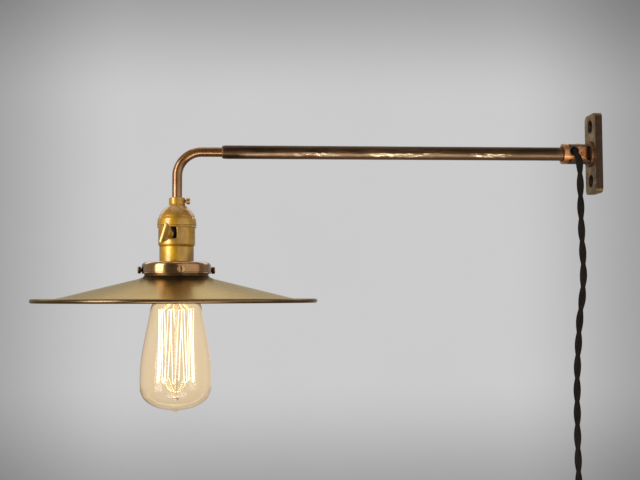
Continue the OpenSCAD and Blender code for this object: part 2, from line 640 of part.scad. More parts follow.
wall_plate();
swivel_base();
pivot_pin();
swivel_washers();
swivel_head();
cord_bushing();
arm_tube();
arm_end_sleeve();
arm_set_screw();
tube_retaining_nut();
bent_tube();
inner_lead();
socket_cap();
cap_set_screw();
socket_shell();
shell_liner();
socket_body();
terminal_screws();
screw_shell();
centre_contact();
switch_cam();
switch_shaft();
paddle_key();
shade_holder();
holder_ring();
holder_screws();
shade_neck();
shade();
bulb_base();
base_insulator();
base_contact();
bulb_glass();
bulb_stem();
filament_supports();
filament();
cord_drop();
cord_hank();
cord_tie();
cord_tail();
plug_body();
plug_collar();
plug_blades();
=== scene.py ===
import math

import bmesh
import bpy
from mathutils import Matrix, Vector


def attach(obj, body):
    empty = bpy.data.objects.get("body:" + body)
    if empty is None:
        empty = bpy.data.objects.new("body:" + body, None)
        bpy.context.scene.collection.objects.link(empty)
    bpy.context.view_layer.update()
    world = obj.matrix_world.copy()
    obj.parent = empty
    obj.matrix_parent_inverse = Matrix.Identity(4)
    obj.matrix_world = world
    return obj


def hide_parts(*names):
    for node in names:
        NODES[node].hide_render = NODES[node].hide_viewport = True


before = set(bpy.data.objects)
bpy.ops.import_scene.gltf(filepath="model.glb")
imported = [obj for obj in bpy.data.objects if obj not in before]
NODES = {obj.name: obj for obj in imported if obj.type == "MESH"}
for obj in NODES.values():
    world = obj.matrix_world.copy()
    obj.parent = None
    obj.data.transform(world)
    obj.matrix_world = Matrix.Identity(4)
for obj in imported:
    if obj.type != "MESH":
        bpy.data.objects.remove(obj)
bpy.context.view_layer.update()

# Shapes are drawn in millimetres in the CAD frame, and become metres when a mesh is finished
MM = 0.001
MERGE = 1e-4
COLL = bpy.context.scene.collection
LAMP_X = 388.5  # distance of the lamp's upright axis from the wall
LAMP_AXIS = (-LAMP_X * MM, 0, 0)  # the same axis in metres, for the materials


# ------------ camera
def make_camera():
    """Camera at the photo's angle: yaw to the right of +Y, pitch upwards, and a slight roll."""
    yaw, pitch, roll = math.radians(3.0865), math.radians(3.5117), math.radians(-0.1356)
    at = (-0.30495, -0.85536, -0.13279)
    ahead = Vector((math.sin(yaw) * math.cos(pitch), math.cos(yaw) * math.cos(pitch), math.sin(pitch)))
    level = Vector((math.cos(yaw), -math.sin(yaw), 0))
    above = level.cross(ahead)
    right = math.cos(roll) * level + math.sin(roll) * above
    up = -math.sin(roll) * level + math.cos(roll) * above
    data = bpy.data.cameras.new("camera")
    data.sensor_width = 36
    data.lens = 52.953
    data.clip_start, data.clip_end = 0.02, 60
    cam = bpy.data.objects.new("camera", data)
    rows = [(right[i], up[i], -ahead[i], at[i]) for i in range(3)]
    cam.matrix_world = Matrix((*rows, (0, 0, 0, 1)))
    COLL.objects.link(cam)
    bpy.context.scene.camera = cam


make_camera()


# ------------ mesh helpers
def smooth(ob, sharp):
    """Smooth shading with edges kept sharp above an angle in degrees."""
    ob.data.shade_smooth()
    ob.data.set_sharp_from_angle(angle=math.radians(sharp))


def mesh_object(bm, name, mat, sharp=38, merge=True):
    """Turns a bmesh in millimetres into an object in metres."""
    if merge:
        bmesh.ops.remove_doubles(bm, verts=bm.verts, dist=MERGE)
    bmesh.ops.recalc_face_normals(bm, faces=bm.faces)
    bmesh.ops.scale(bm, vec=(MM, MM, MM), verts=bm.verts)
    me = bpy.data.meshes.new(name)
    bm.to_mesh(me)
    bm.free()
    me.materials.append(mat)
    ob = bpy.data.objects.new(name, me)
    COLL.objects.link(ob)
    smooth(ob, sharp)
    return ob


def place(ob, body, nodes=()):
    """Makes an object ride on a body, in place of the given CAD nodes."""
    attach(ob, body)
    if nodes:
        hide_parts(*nodes)
    return ob


def piece(bm, name, body, mat, nodes=(), sharp=38, merge=True):
    """A finished piece from a bmesh."""
    return place(mesh_object(bm, name, mat, sharp, merge), body, nodes)


def catmull(points, step):
    """Points along a smooth curve through the given ones, about step apart."""
    pts = [Vector(p) for p in points]
    out = []
    for i in range(len(pts) - 1):
        p1, p2 = pts[i], pts[i + 1]
        p0 = pts[i - 1] if i else p1 * 2 - p2
        p3 = pts[i + 2] if i + 2 < len(pts) else p2 * 2 - p1
        d0, d1, d2 = (max(a.length, 1e-6) ** 0.5 for a in (p1 - p0, p2 - p1, p3 - p2))
        m1 = (p2 - p1) + d1 * ((p1 - p0) / d0 - (p2 - p0) / (d0 + d1))
        m2 = (p2 - p1) + d1 * ((p3 - p2) / d2 - (p3 - p1) / (d1 + d2))
        k = max(1, round((p2 - p1).length / step))
        for j in range(k):
            t = j / k
            out.append(p1 * (2 * t**3 - 3 * t**2 + 1) + p2 * (3 * t**2 - 2 * t**3)
                       + m1 * (t**3 - 2 * t**2 + t) + m2 * (t**3 - t**2))
    out.append(pts[-1].copy())
    return out


def curve_outline(points, step):
    """A smooth outline of (radius, distance) through the given points, never past the axis."""
    return [(max(p.x, 0), p.y) for p in catmull(points, step)]


def rounded(points, steps=4):
    """A closed outline of (a, b, radius) corners, with each corner rounded."""
    out = []
    n = len(points)
    for i, p in enumerate(points):
        c = Vector(p[:2])
        r = p[2] if len(p) > 2 else 0
        if r <= 0:
            out.append(c)
            continue
        a, b = Vector(points[i - 1][:2]) - c, Vector(points[(i + 1) % n][:2]) - c
        r = min(r, 0.48 * a.length, 0.48 * b.length)
        a.normalize()
        b.normalize()
        for k in range(steps + 1):
            t = k / steps
            out.append(c + a * r * (1 - t) ** 2 + b * r * t**2)
    return out


def lathe(outline, segs, origin=(-LAMP_X, 0, 0), along_arm=False):
    """Turns a closed outline of (radius, distance) round an axis that runs down, or along the arm."""
    bm = bmesh.new()
    o = Vector(origin)

    def point(r, d, a):
        if along_arm:
            return o + Vector((-d, r * math.cos(a), r * math.sin(a)))
        return o + Vector((r * math.cos(a), r * math.sin(a), -d))

    rings = []
    for r, d in outline:
        angles = [2 * math.pi * k / segs for k in range(segs)] if r >= 1e-4 else [0]
        rings.append([bm.verts.new(point(max(r, 0), d, a)) for a in angles])
    for i, a in enumerate(rings):
        b = rings[(i + 1) % len(rings)]
        if len(a) == 1 and len(b) == 1:
            continue
        for k in range(segs):
            q = (k + 1) % segs
            if len(a) == 1:
                bm.faces.new((a[0], b[q], b[k]))
            elif len(b) == 1:
                bm.faces.new((a[k], a[q], b[0]))
            else:
                bm.faces.new((a[k], a[q], b[q], b[k]))
    return bm


def frames(path):
    """Two directions square to a path at each of its points, which turn as little as they can."""
    last = len(path) - 1
    tang = [(path[min(i + 1, last)] - path[max(i - 1, 0)]).normalized() for i in range(len(path))]
    us = [tang[0].orthogonal().normalized()]
    for before, t in zip(tang, tang[1:]):
        u = before.rotation_difference(t) @ us[-1]
        us.append((u - t * u.dot(t)).normalized())
    return us, [t.cross(u) for t, u in zip(tang, us)]


def tube(bm, path, radius, sides=24, caps=True, uv=False):
    """A round bar along a path. radius is a number or a function of the place in the list."""
    angles = [2 * math.pi * k / sides for k in range(sides)]
    rings = []
    for i, (p, u, v) in enumerate(zip(path, *frames(path))):
        r = radius(i) if callable(radius) else radius
        rings.append([bm.verts.new(p + r * (math.cos(a) * u + math.sin(a) * v)) for a in angles])
    layer = bm.loops.layers.uv.verify() if uv else None
    run = 0.0
    for i in range(len(path) - 1):
        step = (path[i + 1] - path[i]).length
        for k in range(sides):
            q = (k + 1) % sides
            f = bm.faces.new((rings[i][k], rings[i + 1][k], rings[i + 1][q], rings[i][q]))
            if layer:
                corners = ((run, k), (run + step, k), (run + step, k + 1), (run, k + 1))
                for loop, (a, b) in zip(f.loops, corners):
                    loop[layer].uv = (a, b / sides)
        run += step
    if caps:
        bm.faces.new(rings[0])
        bm.faces.new(list(reversed(rings[-1])))
    return rings


def bake_modifiers(ob):
    """Turns what an object's modifiers show into its own mesh."""
    bpy.context.view_layer.update()
    dg = bpy.context.evaluated_depsgraph_get()
    me = bpy.data.meshes.new_from_object(ob.evaluated_get(dg))
    ob.modifiers.clear()
    old, ob.data = ob.data, me
    bpy.data.meshes.remove(old)


def cut_away(ob, cutter_bm):
    """Cuts closed cutters, in millimetres, out of an object that is still plain."""
    bmesh.ops.recalc_face_normals(cutter_bm, faces=cutter_bm.faces)
    bmesh.ops.scale(cutter_bm, vec=(MM, MM, MM), verts=cutter_bm.verts)
    me = bpy.data.meshes.new("cutter")
    cutter_bm.to_mesh(me)
    cutter_bm.free()
    cutter = bpy.data.objects.new("cutter", me)
    COLL.objects.link(cutter)
    mod = ob.modifiers.new("cut", "BOOLEAN")
    mod.operation, mod.object, mod.solver = "DIFFERENCE", cutter, "EXACT"
    bake_modifiers(ob)
    bpy.data.objects.remove(cutter)
    bpy.data.meshes.remove(me)


def cut_piece(outline, segs, cutter_bm, name, mat, node):
    """A turned part of the lamp head with holes cut through it."""
    ob = mesh_object(lathe(outline, segs), name, mat)
    cut_away(ob, cutter_bm)
    smooth(ob, 35)
    return place(ob, "lamp_head", [node])


def from_node(node, name, body, mat, width, angle=30, segments=3):
    """A piece with the CAD node's own shape, its edges rounded by a width in millimetres."""
    bm = bmesh.new()
    bm.from_mesh(NODES[node].data)
    bmesh.ops.remove_doubles(bm, verts=bm.verts, dist=2e-6)
    bmesh.ops.dissolve_limit(bm, angle_limit=math.radians(0.6), verts=bm.verts, edges=bm.edges)
    me = bpy.data.meshes.new(name)
    bm.to_mesh(me)
    bm.free()
    me.materials.clear()
    me.materials.append(mat)
    ob = bpy.data.objects.new(name, me)
    COLL.objects.link(ob)
    mod = ob.modifiers.new("edges", "BEVEL")
    mod.width, mod.segments, mod.limit_method = width * MM, segments, "ANGLE"
    mod.angle_limit = math.radians(angle)
    mod.use_clamp_overlap = True
    bake_modifiers(ob)
    smooth(ob, 30)
    ob.data.materials.clear()
    ob.data.materials.append(mat)
    return place(ob, body, [node])


# ------------ materials
class Graph:
    """A principled material whose inputs come from procedural nodes."""

    def __init__(self, name):
        self.mat = bpy.data.materials.new(name)
        self.mat.use_nodes = True
        self.nt = self.mat.node_tree
        self.bsdf = next(n for n in self.nt.nodes if n.type == "BSDF_PRINCIPLED")
        self.tc = self.nt.nodes.new("ShaderNodeTexCoord")

    def node(self, kind, **values):
        n = self.nt.nodes.new("ShaderNode" + kind)
        for k, v in values.items():
            setattr(n, k, v)
        return n

    def link(self, a, b):
        self.nt.links.new(a, b)

    def feed(self, socket, value):
        """Links a socket to another, or gives it a plain value."""
        if hasattr(value, "links"):
            self.link(value, socket)
        else:
            socket.default_value = value

    def position(self):
        """Where a point is along X, Y and Z, in metres."""
        sep = self.node("SeparateXYZ")
        self.link(self.tc.outputs["Object"], sep.inputs[0])
        return sep.outputs

    def noise(self, scale, detail, rough, stretch=(1, 1, 1), distortion=0.0, location=(0, 0, 0)):
        m = self.node("Mapping")
        m.inputs["Scale"].default_value = stretch
        m.inputs["Location"].default_value = location
        self.link(self.tc.outputs["Object"], m.inputs["Vector"])
        n = self.node("TexNoise")
        n.inputs["Scale"].default_value = scale
        n.inputs["Detail"].default_value = detail
        n.inputs["Roughness"].default_value = rough
        n.inputs["Distortion"].default_value = distortion
        self.link(m.outputs["Vector"], n.inputs["Vector"])
        return n.outputs["Fac"]

    def ramp(self, fac, stops):
        r = self.node("ValToRGB")
        els = r.color_ramp.elements
        while len(els) > 1:
            els.remove(els[-1])
        els[0].position, els[0].color = stops[0][0], rgba(stops[0][1])
        for p, c in stops[1:]:
            els.new(p).color = rgba(c)
        self.link(fac, r.inputs["Fac"])
        return r.outputs["Color"]

    def mix(self, fac, a, b):
        """Colour a, with colour b over it by fac."""
        m = self.node("Mix", data_type="RGBA")
        self.feed(m.inputs[0], fac)
        self.feed(m.inputs[6], a)
        self.feed(m.inputs[7], rgba(b))
        return m.outputs[2]

    def math(self, op, a, b=0.0, clamp=False):
        m = self.node("Math", operation=op, use_clamp=clamp)
        self.feed(m.inputs[0], a)
        self.feed(m.inputs[1], b)
        return m.outputs[0]

    def span(self, value, lo, hi, a, b, interpolation="LINEAR"):
        """Carries a value's range lo to hi over to a to b."""
        m = self.node("MapRange", interpolation_type=interpolation)
        for i, v in enumerate((lo, hi, a, b)):
            m.inputs[i + 1].default_value = v
        self.link(value, m.inputs[0])
        return m.outputs[0]

    def colour(self, value):
        self.link(value, self.bsdf.inputs["Base Color"])

    def rough(self, value, lo, hi, a, b):
        """Roughness that goes from a to b as the value goes from lo to hi."""
        self.link(self.span(value, lo, hi, a, b), self.bsdf.inputs["Roughness"])

    def bump(self, height, strength, distance):
        b = self.node("Bump")
        b.inputs["Strength"].default_value = strength
        b.inputs["Distance"].default_value = distance
        self.link(height, b.inputs["Height"])
        self.link(b.outputs["Normal"], self.bsdf.inputs["Normal"])

    def edges(self):
        """One on worn edges, nought elsewhere."""
        g = self.node("NewGeometry")
        return self.span(g.outputs["Pointiness"], 0.51, 0.56, 0.0, 1.0)

    def radius(self, centre, axis="z"):
        """Distance from an upright axis, or from one that runs along X."""
        s = self.node("VectorMath", operation="SUBTRACT")
        s.inputs[1].default_value = centre
        self.link(self.tc.outputs["Object"], s.inputs[0])
        m = self.node("VectorMath", operation="MULTIPLY")
        m.inputs[1].default_value = (1, 1, 0) if axis == "z" else (0, 1, 1)
        self.link(s.outputs[0], m.inputs[0])
        n = self.node("VectorMath", operation="LENGTH")
        self.link(m.outputs[0], n.inputs[0])
        return n.outputs["Value"]

    def set(self, **values):
        names = {"metallic": "Metallic", "ior": "IOR", "transmission": "Transmission Weight",
                 "coat": "Coat Weight", "coat_rough": "Coat Roughness", "coat_ior": "Coat IOR",
                 "tint": "Specular Tint", "specular": "Specular IOR Level", "emission": "Emission Color",
                 "strength": "Emission Strength"}
        for k, v in values.items():
            self.bsdf.inputs[names[k]].default_value = rgba(v) if isinstance(v, tuple) else v


def linear(v):
    """A level of 0 to 255 as linear light."""
    v /= 255
    return v / 12.92 if v <= 0.04045 else ((v + 0.055) / 1.055) ** 2.4


def rgb(r, g, b):
    return (linear(r), linear(g), linear(b))


def rgba(c):
    return tuple(c) if len(c) == 4 else (*c, 1.0)


def metal(name, dark, mid, light, rough, patches, grain_size=900, bump=0.08, turned=False, stain=None,
          stain_amount=0.5, wear=None, depth=0.0002, metallic=1.0, coat=0.0, coat_rough=0.15, coat_ior=1.5,
          painted_shading=None):
    """Metal with mottled colour, fine turning marks or grain, stains, lighter worn edges and, where given,
    painted shade.

    Colours are levels of 0 to 255, here and in the next two functions.
    """
    g = Graph(name)
    mott = g.noise(patches, 6, 0.62, distortion=0.4)
    col = g.ramp(mott, [(0.3, rgb(*dark)), (0.5, rgb(*mid)), (0.72, rgb(*light))])
    if stain:
        s = g.noise(patches * 0.42, 8, 0.7, distortion=1.1, location=(3, 1, 7))
        col = g.mix(g.span(s, 0.52, 0.72, 0.0, stain_amount), col, rgb(*stain))
    spots = g.noise(patches * 9, 3, 0.5, location=(9, 2, 4))
    col = g.mix(g.span(spots, 0.62, 0.75, 0.0, 0.35), col, rgb(*dark))
    fine = g.noise(1, 3, 0.6, stretch=(18, 18, grain_size)) if turned else g.noise(grain_size, 3, 0.6)
    if wear:
        col = g.mix(g.edges(), col, rgb(*wear))
    # painted shading laid over the colour, where given
    if painted_shading:
        col = painted_shading(g, col)
    g.colour(col)
    both = g.math("ADD", g.math("MULTIPLY", mott, 0.6), g.math("MULTIPLY", fine, 0.4))
    g.rough(both, 0.32, 0.68, rough[1], rough[0])
    g.bump(g.math("ADD", fine, g.math("MULTIPLY", mott, 0.8)), bump, depth)
    g.set(metallic=metallic, coat=coat, coat_rough=coat_rough, coat_ior=coat_ior)
    return g.mat


def cloth(name, dark, mid, light, around=7, pitch=3.4):
    """Cloth of the cord: two sets of threads that cross, in dark brown and black."""
    g = Graph(name)
    sep = g.node("SeparateXYZ")
    uv = g.node("UVMap")
    g.link(uv.outputs["UV"], sep.inputs[0])
    run = g.math("MULTIPLY", sep.outputs["X"], 2 * math.pi / pitch)
    turn = g.math("MULTIPLY", sep.outputs["Y"], 2 * math.pi * around)
    a = g.math("SINE", g.math("ADD", run, turn))
    b = g.math("SINE", g.math("SUBTRACT", run, turn))
    weave = g.math("MAXIMUM", a, b)
    fuzz = g.noise(2600, 3, 0.7)
    patch = g.noise(45, 5, 0.6)
    col = g.ramp(g.math("ADD", g.math("MULTIPLY", weave, 0.32), g.math("MULTIPLY", patch, 0.75)),
                 [(0.2, rgb(*dark)), (0.5, rgb(*mid)), (0.8, rgb(*light))])
    g.colour(col)
    g.rough(fuzz, 0.3, 0.7, 0.62, 0.9)
    g.bump(g.math("ADD", weave, g.math("MULTIPLY", fuzz, 0.8)), 0.75, 0.00022)
    g.set(specular=0.1)
    return g.mat


def moulded(name, dark, mid, rough=(0.3, 0.5), coat=0.0, bump=0.1, specular=0.5):
    """Moulded plastic, fibre or rubber with faint flow marks and dust."""
    g = Graph(name)
    flow = g.noise(60, 5, 0.6, distortion=1.4)
    g.colour(g.ramp(flow, [(0.3, rgb(*dark)), (0.7, rgb(*mid))]))
    fine = g.noise(1500, 2, 0.5)
    g.rough(flow, 0.3, 0.7, rough[0], rough[1])
    g.bump(fine, bump, 0.0001)
    g.set(coat=coat, coat_rough=0.15, specular=specular)
    return g.mat


def plate_painted_shade(g, col):
    """Painted shade on the wall plate: darker long sides, and screw holes darkened almost to black."""
    side = g.span(g.math("ABSOLUTE", g.position()["Y"]), 0.0137, 0.0143, 0.0, 0.92)
    col = g.mix(side, col, rgb(50, 34, 27))
    # painted shade in the screw holes' countersinks
    for z in (0.0254, -0.0254):
        col = g.mix(g.span(g.radius((0, 0, z), "x"), 0.0060, 0.0066, 0.97, 0.0), col, rgb(14, 8, 4))
    return col


def screw_painted_shade(g, col):
    """Painted shade on the holder's screws: dark flanks, while the end face keeps the brass colour."""
    return g.mix(g.span(g.radius(LAMP_AXIS), 0.0338, 0.0344, 0.9, 0.0), col, rgb(24, 16, 12))


def arm_material():
    """Brown patina; a paler underside is painted light, and a broken streak low on the near side is rubbed
    metal and painted highlight.
    """
    g = Graph("arm_patina")
    mott = g.noise(1, 6, 0.6, stretch=(24, 150, 150), distortion=0.6)
    col = g.ramp(mott, [(0.28, rgb(34, 22, 10)), (0.5, rgb(57, 38, 19)), (0.74, rgb(90, 64, 34))])
    # painted light: the underside is paler, for light that falls on it from below, away from the pipe's lamp
    # end
    at = g.position()
    below = g.math("MULTIPLY", g.span(at["Z"], -0.0045, 0.0005, 0.6, 0.0),
                   g.span(at["X"], -0.336, -0.30, 0.0, 1.0))
    col = g.mix(below, col, rgb(112, 82, 56))
    # a narrow band round the bright line, 2.7 mm below the pipe's axis, on the near side only: rubbed metal
    # and a painted highlight
    height = g.math("ADD", at["Z"], 0.0027)
    band = g.math("SUBTRACT", 1.0, g.math("MULTIPLY", g.math("ABSOLUTE", height), 480))
    near = g.math("LESS_THAN", at["Y"], 0.0)
    scuff = g.noise(1, 7, 0.66, stretch=(30, 260, 420), distortion=0.5, location=(1.7, 0, 0))
    rub_and_highlight_mask = g.math("MULTIPLY", band, near)
    rub_and_highlight_mask = g.math("MULTIPLY", rub_and_highlight_mask, g.span(scuff, 0.40, 0.60, 0.0, 1.3), clamp=True)
    other = g.noise(1, 7, 0.7, stretch=(16, 210, 210), distortion=0.7, location=(5, 3, 2))
    rub_and_highlight_mask = g.math("MAXIMUM", rub_and_highlight_mask, g.span(other, 0.62, 0.74, 0.0, 0.55))
    # it starts a little way from the lamp end and fades towards the wall
    start = g.math("MULTIPLY", g.span(at["X"], -0.334, -0.326, 0.0, 1.0),
                   g.span(at["X"], -0.22, -0.08, 1.0, 0.18))
    rub_and_highlight_mask = g.math("MULTIPLY", rub_and_highlight_mask, start, clamp=True)
    # the streak's colour: rubbed metal and a painted highlight
    col = g.mix(rub_and_highlight_mask, col, rgb(142, 114, 88))
    # three stretches where bare metal shows in flakes, kept to the bright band on the near side, so partly a
    # painted highlight
    flakes = g.noise(1, 5, 0.7, stretch=(90, 500, 600), distortion=0.8, location=(0.3, 2, 1))
    where = 0.0
    for x, half in ((-0.262, 0.022), (-0.182, 0.036), (-0.102, 0.02)):
        away = g.math("ABSOLUTE", g.math("SUBTRACT", at["X"], x))
        where = g.math("MAXIMUM", g.span(away, half * 0.6, half, 1.0, 0.0), where)
    bright = g.math("MULTIPLY", g.span(flakes, 0.49, 0.6, 0.0, 1.0), where)
    wide = g.math("MULTIPLY", g.math("MULTIPLY", band, 2.2, clamp=True), near)
    col = g.mix(g.math("MULTIPLY", wide, bright, clamp=True), col, rgb(226, 202, 164))
    col = g.mix(g.edges(), col, rgb(140, 106, 74))
    g.colour(col)
    rubbed = g.math("ADD", mott, g.math("MULTIPLY", rub_and_highlight_mask, 0.4))
    g.rough(rubbed, 0.1, 0.8, 0.28, 0.52)
    fine = g.noise(1, 4, 0.65, stretch=(60, 900, 900))
    g.bump(g.math("ADD", fine, g.math("MULTIPLY", mott, 1.5)), 0.22, 0.0003)
    g.set(metallic=0.85)
    return g.mat


def shade_material():
    """Spun brass with an olive-tan lacquer: fine rings round the axis, soft clouds of colour, and painted
    shade towards the neck.
    """
    g = Graph("shade_brass")
    r = g.radius(LAMP_AXIS)
    rings = g.node("TexNoise", noise_dimensions="1D")
    rings.inputs["Scale"].default_value = 1500
    rings.inputs["Detail"].default_value = 3
    g.link(r, rings.inputs["W"])
    clouds = g.noise(16, 6, 0.6, distortion=0.7)
    specks = g.noise(900, 3, 0.6)
    col = g.ramp(clouds, [(0.3, rgb(164, 140, 94)), (0.52, rgb(178, 154, 106)), (0.74, rgb(188, 166, 118))])
    col = g.mix(g.span(specks, 0.64, 0.76, 0.0, 0.3), col, rgb(140, 110, 68))
    # painted shade: darker towards the neck, standing in for the dark reflection of the holder and socket
    col = g.mix(g.span(r, 0.045, 0.118, 0.68, 0.0), col, rgb(120, 96, 64))
    edge = g.span(r, 0.1230, 0.1240, 0.0, 1.0)
    col = g.mix(g.math("MULTIPLY", edge, 0.92), col, rgb(94, 72, 50))
    g.colour(col)
    both = g.math("ADD", g.math("MULTIPLY", clouds, 0.6), g.math("MULTIPLY", rings.outputs["Fac"], 0.4))
    g.rough(both, 0.3, 0.7, 0.32, 0.24)
    g.bump(g.math("ADD", rings.outputs["Fac"], g.math("MULTIPLY", specks, 0.5)), 0.05, 0.0002)
    g.set(metallic=1.0, tint=(0.88, 0.80, 0.62))
    return g.mat


def glass_material():
    """Amber glass with faint streaks, lit a little from inside."""
    g = Graph("amber_glass")
    streak = g.noise(1, 4, 0.5, stretch=(26, 26, 9), distortion=0.8)
    g.colour(g.ramp(streak, [(0.3, (0.965, 0.875, 0.70)), (0.7, (0.99, 0.925, 0.78))]))
    g.rough(streak, 0.3, 0.7, 0.0, 0.03)
    g.bump(g.noise(60, 2, 0.5), 0.04, 0.0004)
    g.set(transmission=1.0, ior=1.2, emission=(1.0, 0.63, 0.36), strength=0.05)
    return g.mat


def stem_material():
    """Clear glass of the stem, with a faint painted glow from the lit filament."""
    g = Graph("stem_glass")
    streak = g.noise(90, 3, 0.5)
    g.colour(g.ramp(streak, [(0.3, (0.9, 0.9, 0.86)), (0.7, (0.98, 0.97, 0.94))]))
    g.rough(streak, 0.3, 0.7, 0.02, 0.08)
    g.bump(streak, 0.05, 0.0003)
    g.set(transmission=1.0, ior=1.45, emission=(1.0, 0.76, 0.52), strength=0.005)
    return g.mat


def filament_material():
    """Glowing coiled carbon."""
    g = Graph("filament_lit")
    coil = g.noise(700, 2, 0.5)
    light = g.ramp(coil, [(0.3, (0.88, 0.92, 0.98)), (0.7, (0.8, 0.92, 1.0))])
    g.link(light, g.bsdf.inputs["Emission Color"])
    g.colour(g.ramp(coil, [(0.3, (0.25, 0.2, 0.16)), (0.7, (0.4, 0.34, 0.3))]))
    g.rough(coil, 0.3, 0.7, 0.5, 0.7)
    g.bump(coil, 0.2, 0.0001)
    g.set(strength=1.5, metallic=0.6)
    g.mat.cycles.emission_sampling = "NONE"
    return g.mat


M = {
    "cord": cloth("cord_cloth", (5, 3, 2), (13, 9, 6), (30, 22, 15)),
    "tie": moulded("tie_leather", (40, 26, 16), (74, 50, 32), (0.55, 0.75), bump=0.5),
    "plug": moulded("plug_phenolic", (24, 13, 8), (48, 27, 17), (0.18, 0.32), coat=0.4),
    "fibre": moulded("black_fibre", (8, 7, 6), (18, 15, 13), (0.65, 0.8), bump=0.3),
    "body": moulded("socket_moulding", (12, 7, 5), (26, 16, 12), (0.7, 0.85), specular=0.15),
    "paper": moulded("liner_paper", (40, 29, 20), (70, 53, 37), (0.75, 0.9), bump=0.4),
    "lead": moulded("lead_rubber", (16, 15, 14), (32, 30, 28), (0.5, 0.7)),
    "blade": metal("blade_brass", (150, 118, 60), (190, 152, 84), (214, 184, 120), (0.2, 0.34), 90),
    "plate": metal("plate_bronze", (70, 52, 30), (118, 93, 56), (164, 138, 90), (0.42, 0.6), 120, 1400,
                   0.45, stain=(58, 38, 26), stain_amount=0.9, depth=0.0004, metallic=0.9,
                   painted_shading=plate_painted_shade),
    "swivel": metal("swivel_copper", (74, 42, 20), (108, 66, 32), (132, 86, 48), (0.4, 0.52), 80, 1500,
                    0.1, stain=(88, 48, 26), wear=(184, 128, 82)),
    "flange": metal("flange_bronze", (60, 42, 28), (94, 66, 44), (124, 88, 56), (0.45, 0.6), 110, 1200,
                    0.2, stain=(44, 30, 22), stain_amount=0.6, metallic=0.85),
    "pin": metal("pin_steel", (120, 104, 84), (176, 158, 132), (214, 200, 176), (0.22, 0.4), 200, 2000),
    "tube": metal("tube_red_brass", (90, 52, 18), (122, 78, 30), (150, 104, 50), (0.34, 0.46), 60, 700,
                  0.03, stain=(96, 62, 30), stain_amount=0.6, coat=1.0, coat_rough=0.08, coat_ior=1.54),
    "brass": metal("socket_brass", (158, 112, 20), (193, 146, 28), (215, 174, 48), (0.5, 0.62), 48, 2600,
                   0.1, stain=(150, 98, 26), wear=(226, 190, 104), coat=0.9, coat_rough=0.2,
                   coat_ior=1.58, turned=True),
    "holder": metal("holder_brass", (128, 88, 48), (158, 116, 66), (184, 144, 90), (0.14, 0.26), 60, 2200,
                    0.06, stain=(116, 80, 54), stain_amount=0.6, wear=(220, 186, 140), coat=0.7,
                    coat_rough=0.08, turned=True),
    "screw": metal("screw_brass", (130, 92, 58), (176, 132, 88), (206, 166, 118), (0.24, 0.4), 220, 2200,
                   0.1, painted_shading=screw_painted_shade),
    "neck_screw": metal("neck_screw_brass", (104, 72, 44), (150, 108, 68), (190, 150, 102), (0.24, 0.4),
                        220, 2200, 0.1, wear=(216, 178, 128)),
    "dark_screw": metal("grub_steel", (40, 32, 26), (72, 58, 46), (110, 92, 72), (0.35, 0.55), 220),
    # painted shade: darker brass than the lampshade's cone, for the shadow under the holder
    "neck": metal("neck_brass_painted_shade", (100, 76, 50), (130, 102, 68), (156, 124, 84), (0.3, 0.44), 60, 2000,
                  turned=True),
    "wire": metal("support_wire", (156, 142, 120), (186, 172, 148), (212, 200, 178), (0.3, 0.45), 300,
                  metallic=0.4),
    "tin": metal("contact_tin", (130, 126, 118), (172, 168, 160), (206, 203, 198), (0.25, 0.45), 240),
    "base": metal("base_brass", (150, 126, 78), (186, 160, 106), (214, 192, 140), (0.2, 0.36), 90,
                  turned=True),
    "arm": arm_material(),
    "shade": shade_material(),
    "glass": glass_material(),
    "stem": stem_material(),
    "filament": filament_material(),
}

# ------------ cord, hank and tail
DROP = [(-24.6, -6.2, 2.0), (-24.5, -9.0, 1.2), (-23.7, -11.8, -1.2), (-22.7, -13.8, -4.8),
        (-22.1, -14.9, -9.6), (-21.8, -15.2, -16), (-21.7, -15.1, -26), (-21.6, -15.0, -40),
        (-21.5, -15.0, -56), (-21.3, -15.0, -72), (-20.6, -15.0, -92), (-20.3, -15.0, -112),
        (-21.6, -15.0, -131), (-24.2, -15.0, -150), (-26.0, -15.0, -172), (-27.4, -15.0, -194),
        (-28.1, -15.0, -215), (-28.4, -15.0, -236), (-28.5, -15.0, -257), (-28.4, -15.0, -278),
        (-28.2, -15.0, -296), (-28.0, -15.0, -309)]
TAIL = [(-21.4, -8.2, -439), (-21.6, -8.1, -451), (-23.4, -7.1, -461), (-26.2, -5.4, -470),
        (-27.7, -4.3, -478), (-28.0, -4.0, -485)]
HANK_END = (-21.4, -8.2, -432)
PITCH = 41.4  # length of one full twist of the two strands
STRAND_R = 2.03
STRAND_OFF = 1.22  # each strand's centre from the cord's own line
PLAIN_DEPTH = 183.5  # at this depth one strand hides the other from the near side
# The hank: four inner turns, then two outer ones round them
HANK_X = -38.0
HANK_TOP = -322.9
HANK_LOW = HANK_TOP - 118.0
IN_R = 10.0
OUT_R = 16.6
GAP = 6.8
FIRST_Y = -15.0
IN_TURNS = 4
OUT_TURNS = 2


def fold(cx, r, z, y0, y1, top, steps=12):
    """Half turn over the top (left to right) or under the bottom (right to left) of the hank."""
    side = -1 if top else 1
    pts = []
    for i in range(1, steps):
        a = math.pi * i / steps
        t = i / steps
        y = y0 + (y1 - y0) * t * t * (3 - 2 * t)
        pts.append((cx + side * r * math.cos(a), y, z - side * r * math.sin(a)))
    return pts


def straight(x, y, down, steps=8):
    """Straight run of the hank, downwards or upwards."""
    zs = [HANK_TOP + (HANK_LOW - HANK_TOP) * i / steps for i in range(steps + 1)]
    return [(x, y, z) for z in (zs if down else reversed(zs))]


